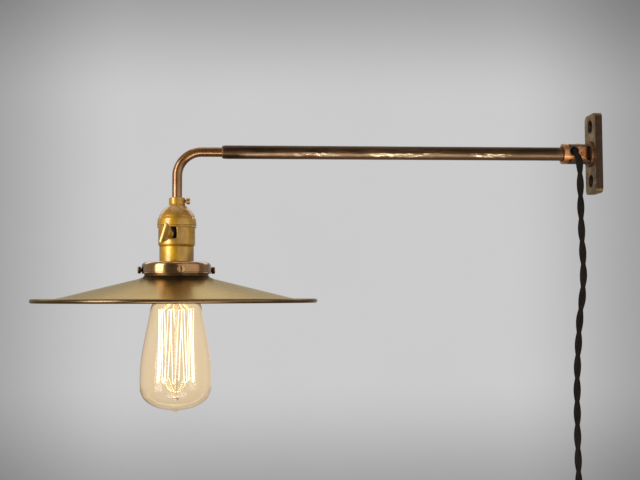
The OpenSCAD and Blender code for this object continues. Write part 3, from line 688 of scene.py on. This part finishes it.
def hank_points():
    """The cord's route round the hank."""
    pts = []
    y = FIRST_Y
    for turn in range(IN_TURNS):
        pts += straight(HANK_X + IN_R, y, True)
        pts += fold(HANK_X, IN_R, HANK_LOW, y, y, False)
        pts += straight(HANK_X - IN_R, y, False)
        if turn < IN_TURNS - 1:
            pts += fold(HANK_X, IN_R, HANK_TOP, y, y + GAP, True)
            y += GAP
    pts += fold(HANK_X + (OUT_R - IN_R) / 2, (IN_R + OUT_R) / 2, HANK_TOP, y, y, True)
    for turn in range(OUT_TURNS):
        pts += straight(HANK_X + OUT_R, y, True)
        pts += fold(HANK_X, OUT_R, HANK_LOW, y, y, False)
        pts += straight(HANK_X - OUT_R, y, False)
        pts += fold(HANK_X, OUT_R, HANK_TOP, y, y - GAP, True)
        y -= GAP
    return pts + straight(HANK_X + OUT_R, y, True)[:-1]


def distances(points):
    """How far along a line each of its points is."""
    out = [0.0]
    for a, b in zip(points, points[1:]):
        out.append(out[-1] + (b - a).length)
    return out


CORD_LINE = catmull(DROP + hank_points() + [HANK_END] + TAIL, 2.2)
CORD_RUNS = distances(CORD_LINE)


def make_cord():
    """Two cloth strands twisted round each other along the cord's line."""
    us, vs = frames(CORD_LINE)
    plain = min(range(200), key=lambda i: abs(CORD_LINE[i].z + PLAIN_DEPTH))
    phase = math.atan2(vs[plain].y, us[plain].y) - 2 * math.pi * CORD_RUNS[plain] / PITCH
    bm = bmesh.new()
    for start in (phase, phase + math.pi):
        path = []
        for i, p in enumerate(CORD_LINE):
            a = start + 2 * math.pi * CORD_RUNS[i] / PITCH
            path.append(p + STRAND_OFF * (math.cos(a) * us[i] + math.sin(a) * vs[i]))
        tube(bm, path, STRAND_R, sides=12, uv=True)
    return piece(bm, "cord", "arm", M["cord"], ["cord_drop", "cord_hank", "cord_tail"],
                 sharp=60, merge=False)


# ------------ strap round the hank
STRAP_Z = (HANK_TOP + HANK_LOW) / 2


def offset_loop(centres, r, steps=7):
    """Outline at a distance round a convex set of points, given in order."""
    out = []
    n = len(centres)
    for i, centre in enumerate(centres):
        a, c, b = Vector(centres[i - 1]), Vector(centre), Vector(centres[(i + 1) % n])
        d0, d1 = (c - a).normalized(), (b - c).normalized()
        a0, a1 = math.atan2(-d0.x, d0.y), math.atan2(-d1.x, d1.y)
        while a1 < a0:
            a1 += 2 * math.pi
        for k in range(steps + 1):
            t = a0 + (a1 - a0) * k / steps
            out.append(c + r * Vector((math.cos(t), math.sin(t))))
    return out


def make_tie():
    """Leather strap round the hank, with a raised band at each edge and a flat end on the near side."""
    left, right = HANK_X - OUT_R, HANK_X + OUT_R
    hull = [(left, -1.4), (-48, -15), (-28, -15), (right, -8.2), (right, 5.4), (left, 5.4)]
    loops = list(zip(offset_loop(hull, 3.35), offset_loop(hull, 4.3)))
    section = [(0, -5.2), (0, 5.2), (0.75, 5.4), (1, 4.9), (1, 4.2), (0.86, 4.0), (0.86, -4.0), (1, -4.2),
               (1, -4.9), (0.75, -5.4)]
    bm = bmesh.new()
    rings = [[bm.verts.new((*inner.lerp(outer, t), STRAP_Z + dz)) for t, dz in section]
             for inner, outer in loops]
    for i, a in enumerate(rings):
        b = rings[(i + 1) % len(rings)]
        for k in range(len(section)):
            q = (k + 1) % len(section)
            bm.faces.new((a[k], b[k], b[q], a[q]))
    # the strap's end is 14 wide, 0.6 thick and 8.8 tall
    block = bmesh.ops.create_cube(bm, size=1, matrix=Matrix.Translation((-39, -19.6, STRAP_Z))
                                  @ Matrix.Diagonal((14, 0.6, 8.8, 1)))
    block_edges = list({e for v in block["verts"] for e in v.link_edges})
    bmesh.ops.bevel(bm, geom=block_edges, offset=0.25, segments=2, affect="EDGES")
    return piece(bm, "cord_strap", "arm", M["tie"], ["cord_tie"], merge=False)


def make_stud():
    """Brass stud that holds the strap's end."""
    outline = rounded([(0, 0), (2.6, 0, 0.3), (2.6, 0.5, 0.4), (1.6, 0.85, 0.3), (0, 0.9)])
    bm = lathe(outline, 32, origin=(0, 0, 0))
    turn = Matrix.Translation((-35, -19.8, STRAP_Z)) @ Matrix.Rotation(math.radians(-90), 4, "X")
    bmesh.ops.transform(bm, matrix=turn, verts=bm.verts)
    return piece(bm, "strap_stud", "arm", M["blade"])


# ------------ plug
PLUG = (-28, -4, -483)


def make_plug_shell():
    """Moulded plug body, wider towards the blades."""
    outline = rounded([
        (0, 4), (3.95, 4), (3.95, 0.2, 0.4), (6.5, 0.6, 1), (8.2, 4, 2), (11, 9, 2.5), (13.4, 12.6, 2),
        (14.2, 16.5, 0.8), (13.9, 17.2, 0.3), (14.2, 17.9, 0.5), (14.45, 20.5, 1), (14.45, 25.6, 1.2),
        (13.2, 27, 0.8), (0, 27)], 6)
    bm = lathe(outline, 96, origin=PLUG)
    return piece(bm, "plug_shell", "arm", M["plug"], ["plug_body"])


def make_plug_ribs(count=24, r=14.1):
    """Upright grip ribs round the plug."""
    bm = bmesh.new()
    profile = [(-502.2, 0.05), (-502.8, 0.35), (-504.5, 0.5), (-507.4, 0.4), (-508.2, 0.05)]
    for k in range(count):
        a = 2 * math.pi * k / count
        base = Vector((PLUG[0] + r * math.cos(a), PLUG[1] + r * math.sin(a), 0))
        tube(bm, [base + Vector((0, 0, z)) for z, _ in profile], lambda i: profile[i][1], sides=8)
    return piece(bm, "plug_ribs", "arm", M["plug"], merge=False)


def make_plug_bush():
    """Collar where the cord enters the plug."""
    outline = rounded([(3.2, -1.4, 0.2), (3.55, -1.4, 0.3), (3.85, 0.4, 0.3), (3.85, 5), (3.2, 5)])
    bm = lathe(outline, 48, origin=PLUG)
    return piece(bm, "plug_bush", "arm", M["fibre"], ["plug_collar"])


cord = make_cord()
tie = make_tie()
stud = make_stud()
plug = make_plug_shell()
ribs = make_plug_ribs()
collar = make_plug_bush()
blades = from_node("plug_blades", "plug_blades_v", "arm", M["blade"], 0.3, 32)

# ------------ wall bracket and swivel
from_node("wall_plate", "plate", "wall_bracket", M["plate"], 0.7, 25)
from_node("swivel_base", "swivel_fork", "wall_bracket", M["flange"], 0.35, 28)
from_node("pivot_pin", "swivel_pin", "wall_bracket", M["pin"], 0.2, segments=2)
from_node("swivel_head", "swivel_collar", "arm", M["swivel"], 0.3, 28)


# ------------ arm
def make_cord_bush():
    """Bush that lines the cord's hole in the swivel."""
    outline = rounded([(3.5, 0, 0.3), (4.15, 0, 0.35), (4.15, 3.7), (3.5, 3.7)])
    bm = lathe(outline, 48, origin=(0, 0, 0))
    turn = Matrix.Translation((-24.6, -9.7, 1.65)) @ Matrix.Rotation(math.radians(90), 4, "X")
    bmesh.ops.transform(bm, matrix=turn, verts=bm.verts)
    piece(bm, "cord_bush", "arm", M["fibre"], ["cord_bushing"])


def make_arm_pipe(r=6.2, bore_r=5.2):
    """The arm's pipe, a little uneven along its length, with a rolled lamp end."""
    wall_end = [(bore_r, 29.1), (5.9, 29.1), (6.15, 29.4)]
    uneven = [(r + 0.02 * math.sin(0.9 * i) + 0.015 * math.sin(2.3 * i), 29.2 + 6.0 * i)
              for i in range(1, 53)]
    lamp_end = [(r, 344.2), (6.17, 345.0), (6.0, 346.2), (5.86, 347.2), (5.7, 347.8), (5.4, 348.0),
                (bore_r, 347.9), (bore_r, 340), (bore_r, 200)]
    bm = lathe(wall_end + uneven + lamp_end, 64, origin=(0, 0, 0), along_arm=True)
    piece(bm, "arm_pipe", "arm", M["arm"], ["arm_tube"])


def make_bent_tube(bend=22.0, outer_r=4.5, inner_r=3.5, sides=48):
    """Tube that leaves the arm's end and bends down into the socket's cap."""
    path = [Vector((-290 - 4 * i, 0, 0)) for i in range(19)]
    for i in range(25):
        a = math.pi / 2 * i / 24
        path.append(Vector((-LAMP_X + bend - bend * math.sin(a), 0, -bend + bend * math.cos(a))))
    path += [Vector((-LAMP_X, 0, -bend - 4 * i)) for i in range(1, 8)] + [Vector((-LAMP_X, 0, -54))]
    bm = bmesh.new()
    outer = tube(bm, path, outer_r, sides, caps=False)
    inner = tube(bm, path, inner_r, sides, caps=False)
    for end in (0, -1):
        a, b = outer[end], inner[end]
        for k in range(sides):
            q = (k + 1) % sides
            bm.faces.new((a[k], a[q], b[q], b[k]))
    piece(bm, "lamp_tube", "lamp_head", M["tube"], ["bent_tube"])


make_cord_bush()
make_arm_pipe()
make_bent_tube()

# ------------ socket
KEY_AZ = math.radians(-90 - 15)
SHELL_R = 16.6
CAP_HOLE_AZ = math.radians(-32.42)


def polar(r, azimuth, depth):
    """A point at a radius from the lamp's axis, an azimuth and a depth below the arm."""
    return Vector((-LAMP_X + r * math.cos(azimuth), r * math.sin(azimuth), -depth))


def radial(bm, azimuth, depth, r0, r1, d):
    """A round bar that points outwards from the lamp axis, as a cutter."""
    tube(bm, [polar(r0, azimuth, depth), polar(r1, azimuth, depth)], d / 2)


def make_cap():
    """Domed cap with a hole for its set screw and a small rivet hole."""
    outline = rounded([
        (4.55, 42.1, 0.3), (6.9, 42, 0.5), (7.2, 42.6, 0.4), (7.2, 47.9, 1.6), (7.9, 49.4, 1.0),
        (10.3, 51.3, 2.0), (13.2, 54.1, 2.2), (15.7, 58.0, 1.8), (16.4, 60.3, 0.5), (16.75, 60.9, 0.4),
        (17.1, 61.6, 0.8), (17.5, 64.2, 1.0), (17.7, 66.4, 0.3), (17.7, 67.2, 0.3), (17.3, 67.7, 0.25),
        (17.3, 68.1, 0.25), (17.65, 68.5, 0.3), (17.65, 69.1, 0.3), (17.3, 69.4, 0.15), (16.65, 69.4),
        (16.65, 62.4, 1), (15, 59.8, 1), (13.0, 55.8, 1), (9.6, 52.2, 1), (7.6, 51), (4.55, 50)], 5)
    holes = bmesh.new()
    radial(holes, CAP_HOLE_AZ, 60.2, 13, 22, 1.6)
    radial(holes, 0.0, 45, 3, 12, 3.1)
    cut_piece(outline, 112, holes, "cap", M["brass"], "socket_cap")


def key_slot():
    """Square slot with small corners at the foot, through which the key's shaft comes out."""
    bm = bmesh.new()
    out = Vector((math.cos(KEY_AZ), math.sin(KEY_AZ), 0))
    side = Vector((-out.y, out.x, 0))
    outline = [(-5.5, 59.0), (5.5, 59.0), (5.5, 78.9), (5.2, 79.5), (4.6, 79.8), (-4.6, 79.8), (-5.2, 79.5),
               (-5.5, 78.9)]
    near, far = ([bm.verts.new(Vector((-LAMP_X, 0, -d)) + out * r + side * s) for s, d in outline]
                 for r in (12, 20))
    bm.faces.new(near)
    bm.faces.new(list(reversed(far)))
    for k in range(len(outline)):
        q = (k + 1) % len(outline)
        bm.faces.new((near[k], far[k], far[q], near[q]))
    return bm


def make_shell():
    """Socket shell with a bead, a step and the key's slot."""
    outline = rounded([
        (SHELL_R, 62.6), (SHELL_R, 69.9, 0.3), (16.45, 70.2, 0.2), (SHELL_R, 70.6, 0.3),
        (SHELL_R, 84.6, 0.8), (15.75, 86.2, 0.4), (15.3, 86.9, 0.3), (15.5, 87.6, 0.4), (15.5, 111.7, 0.2),
        (15.2, 112, 0.15), (14.9, 112), (14.9, 87.1, 0.6), (16.0, 84.9, 0.6), (16.0, 62.6)], 4)
    cut_piece(outline, 128, key_slot(), "shell", M["brass"], "socket_shell")


def make_slot_lip():
    """Raised lip round the key's slot, lying on the shell."""
    half = [(6.1, 70.0), (6.1, 74.0), (6.1, 78.4), (5.8, 79.6), (5.0, 80.3), (3.0, 80.4)]
    route = [(-s, d) for s, d in half] + [(0.0, 80.4)] + half[::-1]
    lip = [polar(SHELL_R - 0.05, KEY_AZ + math.asin(s / SHELL_R), d) for s, d in route]
    bm = bmesh.new()
    tube(bm, catmull(lip, 0.8), 0.62, 12)
    piece(bm, "slot_lip", "lamp_head", M["brass"], sharp=60)


make_cap()
make_shell()
make_slot_lip()
from_node("cap_set_screw", "neck_screw", "lamp_head", M["neck_screw"], 0.35)
from_node("paddle_key", "key_paddle", "switch_key", M["brass"], 0.35)


# ------------ shade holder and shade
def make_holder():
    """Holder ring with four threaded holes."""
    outline = rounded([
        (15.6, 100.3, 0.2), (26.9, 100.3, 1.0), (29.3, 100.9, 1.2), (30.8, 102.3, 1.2), (31.2, 104, 0.8),
        (31.2, 109.7, 0.3), (30.95, 110.0, 0.2), (31.2, 110.4, 0.2), (31.2, 110.8, 0.15), (30.8, 110.9, 0.1),
        (30.4, 110.9), (30.4, 103.6, 0.8), (29.4, 102.0, 0.8), (27.7, 101.1), (15.6, 101.1)], 5)
    holes = bmesh.new()
    for k in range(4):
        radial(holes, math.radians(-90 + 12 + 90 * k), 107.7, 24, 34, 3.5)
    cut_piece(outline, 144, holes, "holder", M["holder"], "shade_holder")


def make_shade(wall=0.9, bead_r=1.85):
    """Shallow cone with a beaded rim."""
    top = curve_outline([(33.65, 115.62), (50, 119.65), (70, 124.58), (90, 129.52), (106, 133.4),
                         (112, 134.68), (118, 135.48), (123.0, 135.76)], 2.5)
    angles = [math.radians(-195 + 320 * i / 32) for i in range(33)]
    rim = [(127 - bead_r + bead_r * math.cos(a), 135.3 + bead_r * math.sin(a)) for a in angles]
    under = [(123.4, 136.7)] + [(r, d + wall) for r, d in reversed(top[:-1])]
    bm = lathe(top + rim + under, 200)
    piece(bm, "shade_cone", "lamp_head", M["shade"], ["shade"], sharp=50)


def make_neck():
    """Upright neck of the shade, inside the holder."""
    outline = rounded([
        (29.6, 103, 0.2), (29.4, 103.9, 0.5), (28.5, 104.6, 0.4), (28.5, 111.8, 1.2), (29.6, 113.9, 1.5),
        (33.6, 115.6), (33.2, 116.5), (30.2, 115.3, 1.2), (28.0, 113.4, 1), (27.6, 111.8, 0.6),
        (27.6, 103, 0.1)], 5)
    piece(lathe(outline, 144), "shade_collar", "lamp_head", M["neck"], ["shade_neck"])


make_holder()
from_node("holder_screws", "holder_screw_heads", "lamp_head", M["screw"], 0.45)
make_shade()
make_neck()

# ------------ bulb
STRANDS = 20
HOOKS = ((15.4, 143.6), (16.6, 207))  # radius and depth of the upper hooks and of the lower ones
LOOP = 1.15  # half the gap between the two strands at a hook


def make_envelope(wall=0.9):
    """Pear shaped glass with a tip."""
    outside = curve_outline([
        (12.45, 101.6), (12.45, 121.4), (13.2, 124.6), (15.2, 128), (18.2, 132.4), (21.0, 137),
        (22.9, 141.6), (24.2, 149), (26, 158.4), (27.9, 168), (29.7, 177.6), (31.1, 187), (31.8, 196),
        (32, 204), (32, 211), (31.4, 216), (29.5, 220.8), (25.6, 225.2), (18.6, 229.4), (10, 231.8),
        (3.6, 232.8), (2.3, 233.5), (1.5, 234.7), (0.7, 235.4), (0, 235.5)], 1.6)
    inside = [(r - wall, d) for r, d in outside if d < 214]
    inside += curve_outline([(30.5, 215.4), (28.7, 220.1), (25.0, 224.3), (18.2, 228.5), (9.8, 230.9),
                             (3, 231.8), (0, 232)], 1.6)
    glass = piece(lathe(outside + inside[::-1], 112), "bulb_envelope", "bulb", M["glass"],
                  ["bulb_glass"], sharp=70)
    glass.visible_shadow = False


def make_stem():
    """Glass stem with a flared foot and a button at its end."""
    outline = curve_outline([
        (0, 117.2), (10.4, 117.2), (10.5, 117.9), (7, 119.6), (4.7, 122.4), (4.2, 127), (3.6, 131),
        (2.2, 134), (1.8, 138), (1.7, 150), (1.7, 200), (1.7, 219.6), (2.0, 221.4), (2.7, 222.4),
        (2.9, 223.3), (2.6, 224.4), (1.6, 224.9), (0, 225)], 2.0)
    stem = piece(lathe(outline, 40), "glass_stem", "bulb", M["stem"], ["bulb_stem"], sharp=60)
    stem.visible_shadow = False


def strand_azimuth(k):
    return 2 * math.pi * k / STRANDS


def hook(k):
    """Middle of the k-th hook. Upper and lower hooks take turns round the cage."""
    radius, depth = HOOKS[k % 2]
    return polar(radius, strand_azimuth(k), depth)


def across(k):
    """Direction round the cage at a hook, as long as half a loop."""
    a = strand_azimuth(k)
    return LOOP * Vector((-math.sin(a), math.cos(a), 0))


def make_filament(ridges=150):
    """Coiled strands that zigzag round the cage, and the bends over its hooks."""
    bm = bmesh.new()
    for k in range(STRANDS - 1):
        p, q = hook(k) + across(k), hook(k + 1) - across(k + 1)
        mid = (p + q) / 2
        out = Vector((mid.x + LAMP_X, mid.y, 0)).normalized()
        steps = [i / ridges for i in range(ridges + 1)]
        pts = [p.lerp(q, t) - out * 0.5 * math.sin(math.pi * t) for t in steps]
        tube(bm, pts, lambda i: 0.30 if i % 2 else 0.22, sides=7)
    for k in range(1, STRANDS - 1):
        over = Vector((0, 0, 0.6 if k % 2 == 0 else -0.6))
        side = across(k)
        bend = [-side, over * 0.8 - side * 0.6, over, over * 0.8 + side * 0.6, side]
        tube(bm, catmull([hook(k) + v for v in bend], 0.3), 0.27, sides=7)
    filament = piece(bm, "filament_lit", "bulb", M["filament"], ["filament"], sharp=80,
                     merge=False)
    filament.visible_shadow = False
    filament.visible_diffuse = False


def make_support_wires():
    """Wires from the stem's button and shoulder, each ending in a hook."""
    bm = bmesh.new()
    for k in range(STRANDS):
        radius, depth = HOOKS[k % 2]
        # where the wire leaves the stem, how far it bows past the hook, and which way the hook opens
        root, bow, way = ((134, 1.2, 1), (217.5, 2.4, -1))[k % 2]
        route = [(0.6, root), (0.32 * radius, root - 0.2 * (root - depth)), (0.8 * radius, depth - bow),
                 (radius, depth - 1.1 * way), (radius + 0.75, depth - 0.1 * way),
                 (radius + 0.2, depth + 0.7 * way)]
        tube(bm, catmull([polar(r, strand_azimuth(k), d) for r, d in route], 0.8), 0.28, sides=8)
    wires = piece(bm, "cage_wires", "bulb", M["wire"], ["filament_supports"], sharp=70,
                  merge=False)
    wires.visible_shadow = False


make_envelope()
make_stem()
make_filament()
make_support_wires()

# ------------ CAD pieces that stay
STAY = {"swivel_washers": "blade", "arm_end_sleeve": "blade", "arm_set_screw": "dark_screw",
        "tube_retaining_nut": "blade", "inner_lead": "lead", "shell_liner": "paper", "socket_body": "body",
        "terminal_screws": "blade", "screw_shell": "brass", "centre_contact": "blade", "switch_cam": "fibre",
        "switch_shaft": "brass", "holder_ring": "holder", "bulb_base": "base", "base_insulator": "fibre",
        "base_contact": "tin"}
for node, mat in STAY.items():
    mats = NODES[node].data.materials
    mats.clear()
    mats.append(M[mat])


# ------------ stage and light
def backdrop_material():
    """Paper that gives its own even light, a little darker towards the sides, the top and the bottom."""
    g = Graph("backdrop_paper")
    at = g.position()
    paper = g.noise(3.0, 3, 0.5)
    dx = g.math("ABSOLUTE", g.math("SUBTRACT", at["X"], -0.107))
    dz = g.math("ABSOLUTE", g.math("SUBTRACT", at["Z"], 0.092))
    tone = g.math("MULTIPLY", g.span(dx, 0.72, 1.42, 1.0, 0.56, "SMOOTHSTEP"),
                  g.span(dz, 0.52, 1.06, 1.0, 0.56, "SMOOTHSTEP"))
    # the wall's top, out of the picture, is a bright band that the metal mirrors
    tone = g.math("MAXIMUM", tone, g.span(at["Z"], 1.12, 1.45, 0.0, 3.0))
    tone = g.math("MULTIPLY", tone, g.span(paper, 0.2, 0.8, 0.595, 0.605))
    grey = g.node("CombineColor")
    for s in grey.inputs[:3]:
        g.link(tone, s)
    em = g.node("Emission")
    g.link(grey.outputs[0], em.inputs["Color"])
    out = next(n for n in g.nt.nodes if n.type == "OUTPUT_MATERIAL")
    g.link(em.outputs[0], out.inputs["Surface"])
    g.mat.cycles.emission_sampling = "NONE"
    return g.mat


def make_backdrop(floor=-1.95, wall_y=2.8, curve_r=1.2, steps=16):
    """Pale floor far below the lamp, which curves up into a plain wall behind it. In metres."""
    bm = bmesh.new()
    start = wall_y - curve_r
    angles = [math.pi / 2 * i / steps for i in range(steps + 1)]
    profile = [(-4.5, floor)]
    profile += [(start + curve_r * math.sin(a), floor + curve_r * (1 - math.cos(a))) for a in angles]
    profile += [(wall_y, 3.2)]
    left, right = ([bm.verts.new((x, y, z)) for y, z in profile] for x in (-4.8, 4.2))
    for i in range(len(profile) - 1):
        bm.faces.new((left[i], right[i], right[i + 1], left[i + 1]))
    me = bpy.data.meshes.new("backdrop")
    bm.to_mesh(me)
    bm.free()
    me.shade_smooth()
    me.materials.append(backdrop_material())
    ob = bpy.data.objects.new("backdrop", me)
    COLL.objects.link(ob)


def area(name, at, to, size, power):
    """Rectangular studio lamp that points at a place. In metres and watts."""
    data = bpy.data.lights.new(name, "AREA")
    data.shape = "RECTANGLE"
    data.size, data.size_y = size
    data.energy = power
    ob = bpy.data.objects.new(name, data)
    ob.location = at
    ob.rotation_mode = "QUATERNION"
    ob.rotation_quaternion = (Vector(to) - Vector(at)).to_track_quat("-Z", "Y")
    COLL.objects.link(ob)


def make_glow():
    """The lit filament's own light."""
    data = bpy.data.lights.new("bulb_glow", "POINT")
    data.energy, data.color, data.shadow_soft_size = 1.6, (1.0, 0.62, 0.30), 0.016
    ob = bpy.data.objects.new("bulb_glow", data)
    ob.location = (-LAMP_X * MM, 0, -0.172)
    COLL.objects.link(ob)
    ob.visible_camera = ob.visible_transmission = ob.visible_glossy = False
    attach(ob, "bulb")


def make_world():
    """Grey surroundings, darker on the near side."""
    world = bpy.data.worlds.new("world")
    bpy.context.scene.world = world
    world.use_nodes = True
    nodes, links = world.node_tree.nodes, world.node_tree.links
    bg = next(n for n in nodes if n.type == "BACKGROUND")
    tc = nodes.new("ShaderNodeTexCoord")
    sep = nodes.new("ShaderNodeSeparateXYZ")
    span = nodes.new("ShaderNodeMapRange")
    grey = nodes.new("ShaderNodeCombineColor")
    links.new(tc.outputs["Generated"], sep.inputs[0])
    links.new(sep.outputs["Y"], span.inputs[0])
    for i, v in enumerate((-0.9, 0.6, 0.10, 0.5)):
        span.inputs[i + 1].default_value = v
    for s in grey.inputs[:3]:
        links.new(span.outputs[0], s)
    links.new(grey.outputs[0], bg.inputs["Color"])
    bg.inputs["Strength"].default_value = 1.0


SHADE_AT = (-LAMP_X * MM, 0, -0.1)
make_backdrop()
area("key_left", (-1.66, -0.98, 0.05), SHADE_AT, (0.75, 1.7), 32)
area("fill_right", (0.9, -1.2, 0.2), SHADE_AT, (2.6, 2.0), 17)
area("top_soft", (-0.3, 0.1, 1.7), (-0.3, 0, -0.1), (1.6, 1.4), 7)
area("low_front", (-0.15, -1.2, -1.15), (-0.2, 0, 0), (1.7, 0.7), 26)
make_glow()
make_world()

scene = bpy.context.scene
scene.view_settings.view_transform = "Standard"
scene.view_settings.look = "None"
